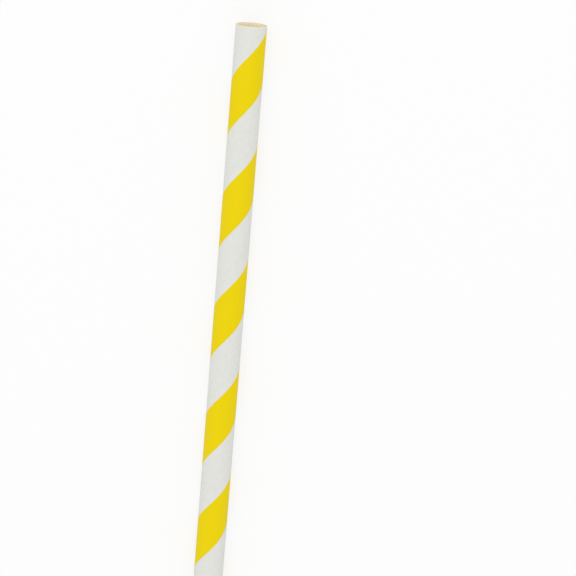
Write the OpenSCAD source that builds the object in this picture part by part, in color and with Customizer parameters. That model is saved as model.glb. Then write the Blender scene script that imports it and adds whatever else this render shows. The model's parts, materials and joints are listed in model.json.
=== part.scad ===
/* [Tube] */
// Outside diameter of the straw
outer_d = 6; // [5:0.1:12]
// Length between the two cut ends
length = 197; // [100:1:250]

/* [Paper] */
// Thickness of the printed strip on the outside
print_t = 0.08; // [0.05:0.01:0.15]
// Thickness of each plain strip under it
core_t = 0.15; // [0.1:0.01:0.25]
// Number of plain strips, wound one over the other
core_count = 2; // [2:1:3]

/* [Winding] */
// Width of the printed strip, from edge to edge
strip_w = 14.5; // [12:0.1:15.5]
// Gap between neighbouring turns of the innermost strip
bore_gap = 0.2; // [0.05:0.01:0.4]
// Angle from the seam on the outside round to the seam in the bore
bore_seam_angle = 205; // [0:5:355]

/* [Print] */
// Width of the yellow stripe along the printed strip's lower edge
stripe_w = 7; // [3:0.1:11]
// Distance from the top end to the first stripe, along the side that faces up
stripe_start = 5.6; // [0:0.1:20]

/* [Hidden] */
yellow = [0.94, 0.84, 0.02];
white = [0.93, 0.93, 0.92];
cream = [0.9, 0.84, 0.73];

// Radii, from the outside in
outer_r = outer_d / 2;
core_r = outer_r - print_t;
bore_r = core_r - core_count * core_t;
// Depth to which the printed strip is glued into the core
glue_t = print_t / 2;
// A cut runs this far past the face that it opens
overrun = print_t;

// The strip's turns meet edge to edge, so its width sets the winding angle and the lead
wind_sin = strip_w / (PI * outer_d);
wind_cos = sqrt(1 - wind_sin * wind_sin);
lead = strip_w / wind_cos;
steps_per_turn = 18;
step_angle = 360 / steps_per_turn;
round_fn = 96;

// Height along the tube that a width across the winding takes up
function rise(width) = width / wind_cos;

// Heights at angle 0, from which each edge climbs by the lead in every turn
upper_side_angle = 180;
stripe_top = length - stripe_start - lead * upper_side_angle / 360;
seam = stripe_top - rise(stripe_w);
bore_seam = seam + lead * bore_seam_angle / 360;

function on_helix(r, angle, z) = [r * cos(angle), r * sin(angle), z + lead * angle / 360];

// A rectangle from z_low to z_high and from r_low to r_high, carried up a right-handed helix.
// It starts below the tube and ends above it, and its four edges run straight between steps
module helix_band(z_low, z_high, r_low, r_high) {
    first = floor(-z_high / lead * steps_per_turn) - 1;
    last = ceil((length - z_low) / lead * steps_per_turn) + 1;
    rings = [for (i = [first : last])
        let (a = i * step_angle)
        [on_helix(r_low, a, z_low), on_helix(r_high, a, z_low),
         on_helix(r_high, a, z_high), on_helix(r_low, a, z_high)]];
    end = 4 * (len(rings) - 1);
    sides = [for (c = [0 : 4 : end - 4], j = [0 : 3])
        let (k = (j + 1) % 4)
        each [[c + j, c + 4 + k, c + 4 + j], [c + j, c + k, c + 4 + k]]];
    caps = [[0, 2, 1], [0, 3, 2], [end, end + 1, end + 2], [end, end + 2, end + 3]];
    polyhedron([for (ring = rings) each ring], concat(sides, caps));
}

// A plain tube of the straw's length
module sleeve(r_in, r_out) {
    difference() {
        cylinder(r = r_out, h = length, $fn = round_fn);
        translate([0, 0, -overrun])
            cylinder(r = r_in, h = length + 2 * overrun, $fn = round_fn);
    }
}

// The plain strips as one tube, with the innermost strip's seam open towards the bore
module core() {
    half_gap = rise(bore_gap) / 2;
    difference() {
        sleeve(bore_r, core_r);
        helix_band(bore_seam - half_gap, bore_seam + half_gap, bore_r - overrun, bore_r + core_t);
    }
}

// One field of the printed strip, between two heights on the helix
module print_field(z_low, z_high) {
    intersection() {
        sleeve(core_r - glue_t, outer_r);
        helix_band(z_low, z_high, core_r - 2 * glue_t, outer_r / cos(step_angle / 2) + overrun);
    }
}

// The yellow field starts at the seam, and the white one ends at the seam a turn higher
module straw_upright() {
    color(cream) core();
    color(yellow) print_field(seam, stripe_top);
    color(white) print_field(stripe_top, seam + lead);
}

// Lying at rest, with its top end towards +X
module straw() {
    translate([-length / 2, 0, outer_r]) rotate([0, 90, 0]) straw_upright();
}

straw();
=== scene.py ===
import json
import math
import bpy
import numpy as np
from mathutils import Matrix, Vector


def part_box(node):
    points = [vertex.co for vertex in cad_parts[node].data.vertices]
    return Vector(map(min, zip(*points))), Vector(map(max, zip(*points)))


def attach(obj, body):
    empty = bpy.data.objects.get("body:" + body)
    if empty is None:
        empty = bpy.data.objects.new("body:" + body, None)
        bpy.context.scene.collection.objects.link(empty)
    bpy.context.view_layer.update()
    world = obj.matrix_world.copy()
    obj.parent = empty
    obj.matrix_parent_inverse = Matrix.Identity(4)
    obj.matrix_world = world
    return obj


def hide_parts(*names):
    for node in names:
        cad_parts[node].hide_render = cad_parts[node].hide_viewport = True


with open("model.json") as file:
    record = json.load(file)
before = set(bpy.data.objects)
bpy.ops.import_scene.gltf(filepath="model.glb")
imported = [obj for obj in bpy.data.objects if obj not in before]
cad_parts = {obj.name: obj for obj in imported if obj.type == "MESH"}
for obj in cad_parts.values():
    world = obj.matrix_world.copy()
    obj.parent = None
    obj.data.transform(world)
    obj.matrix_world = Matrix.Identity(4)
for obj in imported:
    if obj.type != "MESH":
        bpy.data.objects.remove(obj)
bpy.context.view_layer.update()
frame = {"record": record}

mm = 0.001
print("straw frame loaded")


def srgb(r, g, b):
    # a colour as a screen shows it, 0 to 255, turned into the linear value that a shader takes
    channels = [c / 255 for c in (r, g, b)]
    return [c / 12.92 if c <= 0.04045 else ((c + 0.055) / 1.055) ** 2.4 for c in channels] + [1.0]


noiseMiddle = (0.3, 0.7)            # range that most of a noise's values fall in
noisePeaks = (0.52, 0.8)            # range of its peaks


class Num:
    # wraps a number socket, so that an expression on values adds its Math nodes
    def __init__(self, finish, socket):
        self.finish = finish
        self.socket = socket

    def other(self, output):
        # another output of the same node
        return Num(self.finish, self.socket.node.outputs[output])

    def math(self, operation, *others):
        inputs = {i: value for i, value in enumerate((self,) + others)}
        return self.finish.node("ShaderNodeMath", {"operation": operation}, inputs)

    def __add__(self, other):
        return self.math("ADD", other)

    def __sub__(self, other):
        return self.math("SUBTRACT", other)

    def __rsub__(self, other):
        return self.math("MULTIPLY_ADD", -1, other)

    def __mul__(self, other):
        return self.math("MULTIPLY", other)

    def __truediv__(self, other):
        return self.math("DIVIDE", other)

    __radd__ = __add__
    __rmul__ = __mul__

    def step(self, low, high):
        # smooth rise from 0 at low to 1 at high, or a fall where low is the larger of the two
        if low > high:
            return 1 - self.step(high, low)
        return self.finish.node("ShaderNodeMapRange", {"interpolation_type": "SMOOTHSTEP"},
                                {"Value": self, "From Min": low, "From Max": high})

    def line(self, middle, halfWidth):
        # 1 where the value is middle, falling smoothly to 0 at halfWidth on both sides
        return (self - middle).math("ABSOLUTE").step(halfWidth, 0)

    def spread(self):
        # a noise's middle range, widened to run from 0 to 1
        return self.step(*noiseMiddle)

    def peaks(self):
        # a noise's peaks alone, from 0 to 1
        return self.step(*noisePeaks)


class Finish:
    # a material's or the sky's nodes, built one at a time
    def __init__(self, owner):
        owner.use_nodes = True
        self.owner = owner
        self.tree = owner.node_tree
        self.tree.nodes.clear()

    def node(self, kind, settings=None, inputs=None, output=0):
        # a node of any kind, with its settings, and the values or links of its inputs
        made = self.tree.nodes.new(kind)
        for key, value in (settings or {}).items():
            setattr(made, key, value)
        for key, value in (inputs or {}).items():
            if isinstance(value, Num):
                self.tree.links.new(value.socket, made.inputs[key])
            else:
                made.inputs[key].default_value = value
        return Num(self, made.outputs[output] if len(made.outputs) else None)

    def blend(self, factor, low, high):
        # the colour low where factor is 0, high where it is 1. A Mix node's colour inputs are
        # sockets 6 and 7, and its colour output is socket 2
        return self.node("ShaderNodeMix", {"data_type": "RGBA"}, {0: factor, 6: low, 7: high}, 2)

    def vector(self, x, y):
        return self.node("ShaderNodeCombineXYZ", None, {0: x, 1: y})

    def noise(self, vector, size):
        # from 0 to 1, in patches of about size metres
        return self.node("ShaderNodeTexNoise", None, {
            "Vector": vector, "Scale": 1 / size, "Detail": 3, "Roughness": 0.6})

    def fibres(self, along, across, size):
        # noise drawn out along the strip; size is a fibre's length and width
        return self.noise(self.vector(along / size[0], across / size[1]), 1)

    def paper(self, colour, roughness, height, depth, specular):
        # a Principled surface whose normal follows height, which is depth metres from 0 to 1
        normal = self.node("ShaderNodeBump", None, {"Distance": depth, "Height": height})
        shader = self.node("ShaderNodeBsdfPrincipled", None, {
            "Base Color": colour, "Roughness": roughness, "Normal": normal,
            "Specular IOR Level": specular})
        self.node("ShaderNodeOutputMaterial", None, {"Surface": shader})
        return self.owner


# The tube. Widths on the printed strip are measured square to its edges, and seams are placed in
# turns of the winding from the seam on the outside
straw = {
    "stripWidth": 14.5 * mm,        # printed strip, edge to edge
    "stripeWidth": 7.0 * mm,        # yellow stripe along its lower edge
    "stripeStart": 5.6 * mm,        # top end to the first stripe, along the upper side
    "columns": 128,                 # points round the tube
    "rowsPerTurn": 15,
    "boreRowsPerTurn": 9,
    "seamRows": 11,                 # more rows over each seam, out to seamReach half widths
    "seamReach": 2.2,
    "leastGap": 1e-4,               # rows closer than this part of a turn become one
    "seamDepth": 0.022 * mm,        # outside seam, where the strip's edges meet
    "seamHalf": 0.075 * mm,
    "boreSeamUp": 205 / 360,        # seam of the innermost strip, open towards the bore
    "boreSeamDepth": 0.11 * mm,
    "boreSeamHalf": 0.1 * mm,
    "plySeamDown": 0.245,           # seam of the middle strip, which shows through a little
    "plySeamDepth": 0.02 * mm,
    "plySeamHalf": 0.3 * mm,
    "waves": ((3, 41), (2, -67)),   # lobes round the tube, and their turn in radians over its length
    "waviness": 0.0015 * mm,        # half the depth of each of these long shallow waves
    "crimp": 0.035 * mm,            # how far the cutter draws the ends in
    "crimpLength": 0.5 * mm,
    "boreCrimp": 0.4,               # share of the crimp that reaches the bore
}

# The cut ends. Places through the wall run from 0 outside to 1 in the bore
cutEdge = {
    "round": 0.06 * mm,             # how far the two edges are rounded back
    "roundShare": 0.13,             # part of the wall that each rounding takes
    "lastRow": 0.09 * mm,           # rows closer to an end than this fall together on its edge
    "plyLines": (0.21, 0.605),      # glue lines between the three plies
    "glueDip": 0.022 * mm,
    "glueHalf": 0.022,              # half a glue line's width, as a share of the wall
    "rings": 8,                     # even steps through the wall
    "edgeRings": (0.25, 0.5, 1),    # more rings on each rounding, in shares of it
    "glueRings": (-1.6, -0.8, 0, 0.8, 1.6),     # and at each glue line, in half widths
    "leastGap": 0.012,
    "fuzz": 0.004 * mm,             # unevenness of the cut
    "fuzzWaves": ((17, 9), (29, -23)),          # lobes round the tube, and their turn through the wall
}

mounts = {mount["name"]: mount for mount in frame["record"]["mounts"]}
lowCorner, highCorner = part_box("straw")
length = highCorner.x - lowCorner.x
outerR = mounts["outside"]["dims"]["r_mm"] * mm
boreR = mounts["bore"]["dims"]["r_mm"] * mm
windSine = straw["stripWidth"] / (2 * math.pi * outerR)
lead = straw["stripWidth"] / math.sqrt(1 - windSine ** 2)
stripeShare = straw["stripeWidth"] / straw["stripWidth"]
seamTurn = straw["stripeStart"] / lead + stripeShare
boreSeamTurn = seamTurn - straw["boreSeamUp"]
plySeamTurn = seamTurn + straw["plySeamDown"]
columnPhi = 2 * math.pi * np.arange(straw["columns"]) / straw["columns"]


def groove(turn, seam, half):
    # exp(-(d / half)^2), where d is the distance to the seam's nearest turn, square to it
    d = turn - seam
    d = (d - np.round(d)) * straw["stripWidth"]
    return np.exp(-(d / half) ** 2)


def waves(shapes, phi, along):
    # the sum of 1 + sin(lobes * phi + twist * along)
    return sum(1 + np.sin(lobes * phi + twist * along) for lobes, twist in shapes)


def crimp(down):
    # crimp * (1 - d / crimpLength)^2, where d is the distance to the nearer end, and 0 past it
    fromEnd = np.minimum(down, length - down)
    return straw["crimp"] * np.clip(1 - fromEnd / straw["crimpLength"], 0, 1) ** 2


def outsideRadius(down, phi):
    # outerR less the seam, the ply that shows through, long shallow waves and the crimped ends.
    # down is the distance below the top end, phi the angle round from the upper side
    turn = down / lead - phi / (2 * math.pi)
    return (outerR - straw["seamDepth"] * groove(turn, seamTurn, straw["seamHalf"])
            - straw["plySeamDepth"] * groove(turn, plySeamTurn, straw["plySeamHalf"])
            - straw["waviness"] * waves(straw["waves"], phi, down / length) - crimp(down))


def insideRadius(down, phi):
    # boreR plus the open seam of the innermost strip, less part of the crimp at the ends
    turn = down / lead - phi / (2 * math.pi)
    return (boreR + straw["boreSeamDepth"] * groove(turn, boreSeamTurn, straw["boreSeamHalf"])
            - straw["boreCrimp"] * crimp(down))


def spaced(places, least):
    # all places in order, without any that lies closer than least behind the one before. They
    # run from 0 to 1 and round to 0 again
    places = np.sort(np.concatenate(places))
    return places[np.diff(places, prepend=places[-1] - 1) > least]


def rowTurns(count, seams):
    # places of the rows in one turn: count even ones, and seamRows over each seam
    over = np.linspace(-1, 1, straw["seamRows"]) * straw["seamReach"] / straw["stripWidth"]
    seamPlaces = [(turn + half * over) % 1 for turn, half in seams]
    return spaced([np.arange(count) / count] + seamPlaces, straw["leastGap"])


def onTube(down, phi, r):
    # from tube coordinates to the frame: x = length / 2 - down, y = r * sin(phi),
    # z = outerR + r * cos(phi), so that phi = 0 is straight up
    return np.column_stack([length / 2 - down, r * np.sin(phi), outerR + r * np.cos(phi)])


def woundSheet(rows, radius, first):
    # a sheet on a helical grid: down = lead * (turn + phi / 2 pi), r = radius(down, phi).
    # Rows keep one turn value, columns one phi, and the last column of a row goes on as the
    # first of the row one turn on. Points past an end fall together on that end's ring. first is
    # the number that the sheet's first point gets in the whole mesh
    n, columns = len(rows), straw["columns"]
    turns = (np.arange(-1, math.ceil(length / lead) + 1)[:, None] + rows).ravel()
    down = lead * (turns[:, None] + columnPhi / (2 * math.pi))
    nearTop = down <= cutEdge["lastRow"]
    nearBottom = down >= length - cutEdge["lastRow"]
    free = ~(nearTop | nearBottom)
    topRing = first + np.arange(columns)
    bottomRing = topRing + columns
    index = np.zeros(down.shape, int)
    index[free] = first + 2 * columns + np.arange(free.sum())
    index = np.where(nearTop, topRing, np.where(nearBottom, bottomRing, index))
    after = np.concatenate([index[n:, 0], np.full(n, bottomRing[0])])
    index = np.column_stack([index, after])

    everyDown = np.concatenate([np.full(columns, cutEdge["round"]),
                                np.full(columns, length - cutEdge["round"]), down[free]])
    everyPhi = np.concatenate([columnPhi, columnPhi, np.broadcast_to(columnPhi, down.shape)[free]])
    points = onTube(everyDown, everyPhi, radius(everyDown, everyPhi))
    a, b, c, d = index[:-1, :-1], index[:-1, 1:], index[1:, 1:], index[1:, :-1]
    corners = np.stack([a, b, c, d], -1).reshape(-1, 4)
    return points, corners, topRing, bottomRing


def wallRings():
    # places of the rings through the wall: even ones, and more on the rounded edges and at the
    # glue lines
    even = np.arange(1, cutEdge["rings"]) / cutEdge["rings"]
    edge = cutEdge["roundShare"] * np.array(cutEdge["edgeRings"])
    atGlue = cutEdge["glueHalf"] * np.array(cutEdge["glueRings"])
    glue = [line + atGlue for line in cutEdge["plyLines"]]
    return spaced([even, edge, 1 - edge] + glue, cutEdge["leastGap"])


def cutEnd(points, outerRing, innerRing, side):
    # the cut end as rings through the wall: r goes straight from the outside to the bore, and
    # x dips by round * (1 - distance to the edge / roundShare)^2 at both edges, by a bell curve
    # at each glue line and by a little fuzz. side is 1 at the top end, -1 at the bottom
    t = wallRings()[:, None]
    edge = np.clip(1 - np.minimum(t, 1 - t) / cutEdge["roundShare"], 0, 1)
    glue = sum(np.exp(-((t - line) / cutEdge["glueHalf"]) ** 2) for line in cutEdge["plyLines"])
    fuzz = np.sin(math.pi * t) * waves(cutEdge["fuzzWaves"], columnPhi, t)
    down = cutEdge["round"] * edge ** 2 + cutEdge["glueDip"] * glue + cutEdge["fuzz"] * fuzz
    rOuter, rInner = [np.hypot(points[ring, 1], points[ring, 2] - outerR)
                      for ring in (outerRing, innerRing)]
    r = rOuter + (rInner - rOuter) * t
    if side < 0:
        down = length - down
    ends = onTube(down.ravel(), np.broadcast_to(columnPhi, r.shape).ravel(), r.ravel())
    rings = len(points) + np.arange(r.size).reshape(r.shape)
    rings = np.vstack([outerRing, rings, innerRing])
    rings = np.column_stack([rings, rings[:, 0]])
    a, b, c, d = rings[:-1, :-1], rings[:-1, 1:], rings[1:, 1:], rings[1:, :-1]
    corners = np.stack([a, d, c, b] if side > 0 else [a, b, c, d], -1).reshape(-1, 4)
    return ends, corners


def fillMesh(name, points, parts):
    # one mesh from points and four-cornered faces; a face with two equal corners becomes a
    # triangle, and one with two such pairs is left out. parts is a list of (corners, slot)
    mesh = bpy.data.meshes.new(name)
    corners = np.concatenate([c for c, slot in parts])
    slots = np.concatenate([np.full(len(c), slot) for c, slot in parts])
    keep = corners != np.roll(corners, -1, axis=1)
    sides = keep.sum(1)
    good = sides > 2
    corners, slots, keep, sides = corners[good], slots[good], keep[good], sides[good]
    mesh.vertices.add(len(points))
    mesh.vertices.foreach_set("co", points.astype(np.float32).ravel())
    mesh.loops.add(int(sides.sum()))
    mesh.loops.foreach_set("vertex_index", corners[keep].astype(np.int32))
    mesh.polygons.add(len(sides))
    mesh.polygons.foreach_set("loop_start", (np.cumsum(sides) - sides).astype(np.int32))
    mesh.polygons.foreach_set("material_index", slots.astype(np.int32))
    mesh.update(calc_edges=True)
    mesh.validate()
    mesh.shade_smooth()
    return mesh


def tubeCoordinates(finish):
    # Object coordinates as a vector, and as x, y and z, with z measured from the tube's axis
    place = finish.node("ShaderNodeTexCoord", None, None, "Object")
    x = finish.node("ShaderNodeSeparateXYZ", None, {0: place})
    return place, x, x.other("Y"), x.other("Z") - outerR


def stripCoordinates(x, y, z, radius):
    # where a point lies on the wound strip. turn counts strips upwards, and is whole on the seam.
    # across is metres up from the strip's lower edge, square to it, and along is metres along the
    # strip, which runs on from one turn to the next
    phi = y.math("ARCTAN2", z)
    down = length / 2 - x
    turn = seamTurn - down / lead + phi / (2 * math.pi)
    whole = turn.math("FLOOR")
    across = (turn - whole) * straw["stripWidth"]
    ring = 2 * math.pi * radius
    once = math.hypot(lead, ring)
    along = down * (lead / once) + phi * (radius * ring / once) - whole * (ring ** 2 / once)
    return across, along


# Printed outside: white paper with a yellow stripe in flexographic ink
printed = {
    "white": srgb(228, 228, 224),
    "whiteShade": srgb(219, 219, 213),
    "shadeBy": (0.4, 0.35, 0.2),    # shares of mottle, fibres and clouds in the white's shade
    "yellow": srgb(234, 209, 0),
    "yellowThin": srgb(244, 224, 24),
    "thinBy": (0.3, 0.4),           # shares of mottle and grain in where the ink is thin
    "grainSize": 0.19 * mm,
    "fibreSize": (1.1 * mm, 0.19 * mm),
    "mottleSize": 1.0 * mm,
    "cloudSize": 17 * mm,
    "grain": 0.016 * mm,            # height of the surface's relief
    "reliefBy": (0.6, 0.4, 0.15),   # shares of grain, fibres and the ink's own thickness in it
    "ragged": 0.07 * mm,            # how far the ink's edge wanders
    "raggedSize": 0.4 * mm,         # and over what length
    "inkBlur": 0.03 * mm,           # half the width over which the ink ends
    "rim": srgb(222, 198, 6),       # the ink is denser in a rim just inside its edge
    "rimIn": 0.04 * mm,             # from the ink's edge to the middle of the rim
    "rimHalf": 0.05 * mm,
    "rimShare": 0.3,
    "bare": srgb(235, 228, 196),    # paper that the cutter bares at both ends
    "bareRim": 0.17 * mm,           # how far in it reaches on average
    "bareWander": 0.12 * mm,        # and the range over which that wanders
    "seam": srgb(184, 162, 40),     # painted shade: a dark line that stands for the shadow in the seam's groove
    "seamShadeLine": 0.035 * mm,         # its half width
    "seamShadeShare": (0.35, 0.3),       # its strength where clouds are least, and what they add to it
    "roughness": 0.5,
    "roughnessBy": (0.1, -0.06, 0.08),          # what mottle, ink and fibres add to it
    "specular": 0.1,
}


def printedPaper():
    finish = Finish(bpy.data.materials.new("printedPaper"))
    place, x, y, z = tubeCoordinates(finish)
    across, along = stripCoordinates(x, y, z, outerR)
    strip = finish.vector(along, across)
    grain = finish.noise(place, printed["grainSize"])
    fibre = finish.fibres(along, across, printed["fibreSize"])
    mottle = finish.noise(strip, printed["mottleSize"])
    cloud = finish.noise(strip, printed["cloudSize"])

    # mottled white paper, and ink that ends along a ragged line with a denser rim
    edge = across + (finish.noise(strip, printed["raggedSize"]) - 0.5) * printed["ragged"]
    inkEnd, blur = straw["stripeWidth"], printed["inkBlur"]
    ink = edge.step(inkEnd + blur, inkEnd - blur)
    ofMottle, ofFibre, ofCloud = printed["shadeBy"]
    shade = mottle.spread() * ofMottle + fibre.spread() * ofFibre + cloud * ofCloud
    white = finish.blend(shade, printed["white"], printed["whiteShade"])
    ofMottle, ofGrain = printed["thinBy"]
    thin = mottle.peaks() * ofMottle + grain.peaks() * ofGrain
    yellow = finish.blend(thin, printed["yellow"], printed["yellowThin"])
    rim = edge.line(inkEnd - printed["rimIn"], printed["rimHalf"]) * printed["rimShare"]
    colour = finish.blend(ink, white, finish.blend(rim, yellow, printed["rim"]))

    # painted shade as a dark line in the seam's groove, and the bared paper at the cut ends
    fromSeam = across.math("PINGPONG", straw["stripWidth"] / 2)
    least, more = printed["seamShadeShare"]
    # seam is where shade is painted along the seam's groove
    seam = fromSeam.step(printed["seamShadeLine"], 0) * (least + more * cloud)
    colour = finish.blend(seam, colour, printed["seam"])
    fromEnd = length / 2 - x.math("ABSOLUTE") + (mottle - 0.5) * printed["bareWander"]
    bare = fromEnd.step(printed["bareRim"] + blur, printed["bareRim"] - blur)
    colour = finish.blend(bare, colour, printed["bare"])

    byMottle, byInk, byFibre = printed["roughnessBy"]
    roughness = printed["roughness"] + byMottle * mottle + byInk * ink + byFibre * fibre
    ofGrain, ofFibre, ofInk = printed["reliefBy"]
    relief = grain * ofGrain + fibre * ofFibre + ink * ofInk
    return finish.paper(colour, roughness, relief, printed["grain"], printed["specular"])


# Plain paper of the innermost strip
plain = {
    "cream": srgb(251, 245, 214),
    "shade": srgb(244, 234, 198),
    "fibre": srgb(232, 219, 180),
    "fibreShare": 0.55,
    "glue": srgb(206, 182, 132),
    "glueShare": 0.8,
    "grainSize": 0.24 * mm,
    "fibreSize": (1.4 * mm, 0.24 * mm),
    "cloudSize": 4.5 * mm,
    "grain": 0.014 * mm,            # height of the surface's relief
    "roughness": 0.64,
    "roughnessByCloud": 0.16,
    "specular": 0.2,
}


def plainPaper():
    finish = Finish(bpy.data.materials.new("plainPaper"))
    place, x, y, z = tubeCoordinates(finish)
    across, along = stripCoordinates(x, y, z, boreR)
    grain = finish.noise(place, plain["grainSize"])
    fibre = finish.fibres(along, across, plain["fibreSize"])
    cloud = finish.noise(finish.vector(along, across), plain["cloudSize"])
    colour = finish.blend(cloud.spread(), plain["cream"], plain["shade"])
    colour = finish.blend(fibre.peaks() * plain["fibreShare"], colour, plain["fibre"])
    fromSeam = across - straw["boreSeamUp"] * straw["stripWidth"]
    fromSeam = fromSeam.math("PINGPONG", straw["stripWidth"] / 2)
    glue = fromSeam.step(straw["boreSeamHalf"], 0) * plain["glueShare"]
    colour = finish.blend(glue, colour, plain["glue"])
    roughness = plain["roughness"] + cloud * plain["roughnessByCloud"]
    return finish.paper(colour, roughness, (grain + fibre) / 2, plain["grain"], plain["specular"])


# Cut ends: bare paper edges with thin glue lines between the three plies
cut = {
    "edge": srgb(241, 234, 206),
    "shade": srgb(229, 217, 184),
    "speckSize": 0.15 * mm,
    "glue": srgb(186, 160, 112),
    "glueHalf": 0.035,              # half the width that a glue line stains, as a share of the wall
    "glueShare": 0.65,
    "ink": srgb(236, 218, 80),
    "inkDepth": 0.12,               # how far the ink stains the edge, as a share of the wall
    "inkShare": 0.75,
    "wander": 0.05,                 # how far the lines stray, as a share of the wall
    "wanderSize": 0.55 * mm,
    "grain": 0.02 * mm,             # height of the surface's relief
    "roughness": 0.75,
    "roughnessByWander": 0.1,
    "specular": 0.2,
}


def cutPaper():
    finish = Finish(bpy.data.materials.new("cutPaper"))
    place, x, y, z = tubeCoordinates(finish)
    across = stripCoordinates(x, y, z, outerR)[0]
    r = (y * y + z * z).math("SQRT")
    wander = finish.noise(place, cut["wanderSize"])
    speck = finish.noise(place, cut["speckSize"])
    through = (outerR - r) / (outerR - boreR) + (wander - 0.5) * cut["wander"]
    colour = finish.blend(speck.spread(), cut["edge"], cut["shade"])
    for line in cutEdge["plyLines"]:
        glue = through.line(line, cut["glueHalf"]) * cut["glueShare"]
        colour = finish.blend(glue, colour, cut["glue"])
    onStripe = across.step(straw["stripeWidth"], straw["stripeWidth"] - printed["inkBlur"])
    ink = through.step(cut["inkDepth"], 0) * onStripe * cut["inkShare"]
    colour = finish.blend(ink, colour, cut["ink"])
    roughness = cut["roughness"] + wander * cut["roughnessByWander"]
    return finish.paper(colour, roughness, speck, cut["grain"], cut["specular"])


def makeStraw():
    # the whole tube as one closed surface: the outside, the two cut ends and the bore
    seams = [(seamTurn, straw["seamHalf"]), (plySeamTurn, straw["plySeamHalf"])]
    outsideRows = rowTurns(straw["rowsPerTurn"], seams)
    boreRows = rowTurns(straw["boreRowsPerTurn"], [(boreSeamTurn, straw["boreSeamHalf"])])
    outer, outerFaces, outerTop, outerBottom = woundSheet(outsideRows, outsideRadius, 0)
    inner, innerFaces, innerTop, innerBottom = woundSheet(boreRows, insideRadius, len(outer))
    points = np.vstack([outer, inner])
    # faces with their material's slot: 0 is printed paper, 1 plain paper and 2 cut paper
    parts = [(outerFaces, 0), (innerFaces[:, ::-1], 1)]
    for side, outerRing, innerRing in ((1, outerTop, innerTop), (-1, outerBottom, innerBottom)):
        ends, faces = cutEnd(points, outerRing, innerRing, side)
        points = np.vstack([points, ends])
        parts.append((faces, 2))
    mesh = fillMesh("woundStraw", points, parts)
    for material in (printedPaper(), plainPaper(), cutPaper()):
        mesh.materials.append(material)
    piece = bpy.data.objects.new("woundStraw", mesh)
    bpy.context.scene.collection.objects.link(piece)
    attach(piece, "root")
    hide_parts("straw")
    return piece


woundStraw = makeStraw()
print("straw wound:", len(woundStraw.data.vertices), "points,", len(woundStraw.data.polygons), "faces")


# The camera keeps the photograph's view of the straw: where its mouth stands in the picture, how
# far off it is, and how the straw leans and tilts away from its mouth to its bottom
view = {
    "picture": 576,                 # width and height of the picture, in pixels
    "focal": 1841,                  # focal length, in the same pixels
    "mouth": (251.5, 24.7),         # pixel of the mouth's middle
    "distance": 349.4 * mm,         # from the camera to the mouth, straight ahead
    "lean": -5.006,                 # degrees, in the picture, top to the right
    "tilt": 16.1,                   # degrees, bottom away from the camera
    "sensor": 36,                   # millimetres across
    "clip": (0.01, 20),             # nearest and farthest thing seen, in metres
}


def placeCamera():
    # in the camera's own axes (x right, y down, z forward) the straw runs along d; that axis is
    # turned onto -x here, and the side that faces the camera onto +z
    a, b = math.radians(view["lean"]), math.radians(view["tilt"])
    half = view["picture"] / 2
    u, v = view["mouth"]
    mouth = Vector(((u - half) / view["focal"], (v - half) / view["focal"], 1)) * view["distance"]
    d = Vector((math.sin(a) * math.cos(b), math.cos(a) * math.cos(b), math.sin(b)))
    toward = -mouth
    toward = (toward - d * toward.dot(d)).normalized()
    side = d.cross(toward)
    turn = Matrix((-d, side, toward))
    place = Vector((length / 2, 0, outerR)) - turn @ mouth
    ownAxes = (Vector((1, 0, 0)), Vector((0, -1, 0)), Vector((0, 0, -1)))
    axes = Matrix([turn @ axis for axis in ownAxes]).transposed()
    camera = bpy.data.objects.new("camera", bpy.data.cameras.new("camera"))
    camera.data.sensor_width = view["sensor"]
    camera.data.lens = view["focal"] / view["picture"] * view["sensor"]
    camera.data.clip_start, camera.data.clip_end = view["clip"]
    camera.matrix_world = Matrix.Translation(place) @ axes.to_4x4()
    bpy.context.scene.collection.objects.link(camera)
    bpy.context.scene.camera = camera
    return camera


camera = placeCamera()
print("camera placed")


studio = {
    "floorSize": 6.0,               # metres
    "floorColour": (0.92, 0.92, 0.92, 1.0),
    "floorRoughness": 0.9,
    "floorWhite": 0.75,             # share of plain white in the floor as the camera sees it
    "sky": 0.83,
    "keyPower": 2.9,                # watts
    "keySize": 1.0,
    "keyDistance": 1.0,             # from the straw, on the line to the camera
    "keyAim": 0.2,                  # point on the straw, as a share of its length above its middle
    "keyOffset": (0.05, 0.12),      # along the straw, and to the side that is left in the picture
}


def whiteToEye(finish):
    # 1 for rays from the camera, and those that a mirror or glass sends on
    path = finish.node("ShaderNodeLightPath", None, None, "Is Camera Ray")
    mirrored = path.math("MAXIMUM", path.other("Is Glossy Ray"))
    return mirrored.math("MAXIMUM", path.other("Is Transmission Ray"))


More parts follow.
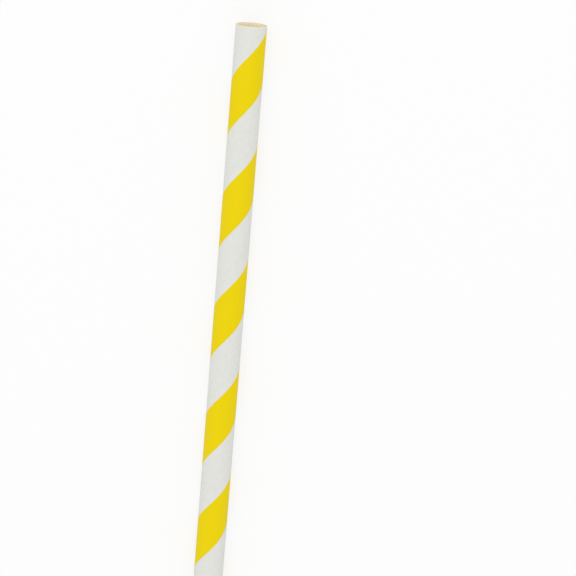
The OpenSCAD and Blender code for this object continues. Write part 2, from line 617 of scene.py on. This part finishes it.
def makeFloor():
    # a pale floor that is nearly white to the camera, and yet shows the straw's shadow
    half = studio["floorSize"] / 2
    mesh = bpy.data.meshes.new("floor")
    corners = [(-half, -half, 0), (half, -half, 0), (half, half, 0), (-half, half, 0)]
    mesh.from_pydata(corners, [], [(0, 1, 2, 3)])
    finish = Finish(bpy.data.materials.new("paleFloor"))
    pale = finish.node("ShaderNodeBsdfPrincipled", None, {
        "Base Color": studio["floorColour"], "Roughness": studio["floorRoughness"],
        "Specular IOR Level": 0.0})
    white = finish.node("ShaderNodeEmission", None, {"Strength": 1.0})
    share = whiteToEye(finish) * studio["floorWhite"]
    both = finish.node("ShaderNodeMixShader", None, {0: share, 1: pale, 2: white})
    finish.node("ShaderNodeOutputMaterial", None, {"Surface": both})
    mesh.materials.append(finish.owner)
    floor = bpy.data.objects.new("floor", mesh)
    bpy.context.scene.collection.objects.link(floor)


def makeSky():
    # an even light all round, in place of which the camera sees plain white, of strength 1
    world = bpy.data.worlds.new("sky")
    finish = Finish(world)
    soft, white = [finish.node("ShaderNodeBackground", None, {
        "Color": (1, 1, 1, 1), "Strength": strength}) for strength in (studio["sky"], 1.0)]
    both = finish.node("ShaderNodeMixShader", None, {0: whiteToEye(finish), 1: soft, 2: white})
    finish.node("ShaderNodeOutputWorld", None, {"Surface": both})
    bpy.context.scene.world = world


def makeKey():
    # a large square lamp behind the camera, a little to the left
    light = bpy.data.lights.new("keyLamp", "AREA")
    light.size = studio["keySize"]
    light.energy = studio["keyPower"]
    lamp = bpy.data.objects.new("keyLamp", light)
    aim = Vector((length * studio["keyAim"], 0, outerR))
    out = (camera.matrix_world.translation - aim).normalized() * studio["keyDistance"]
    along, left = studio["keyOffset"]
    lamp.location = aim + out + Vector((along, left, 0))
    lamp.rotation_euler = (lamp.location - aim).to_track_quat("Z", "Y").to_euler()
    bpy.context.scene.collection.objects.link(lamp)


makeFloor()
makeSky()
makeKey()
bpy.context.scene.view_settings.view_transform = "Standard"
print("studio lit")
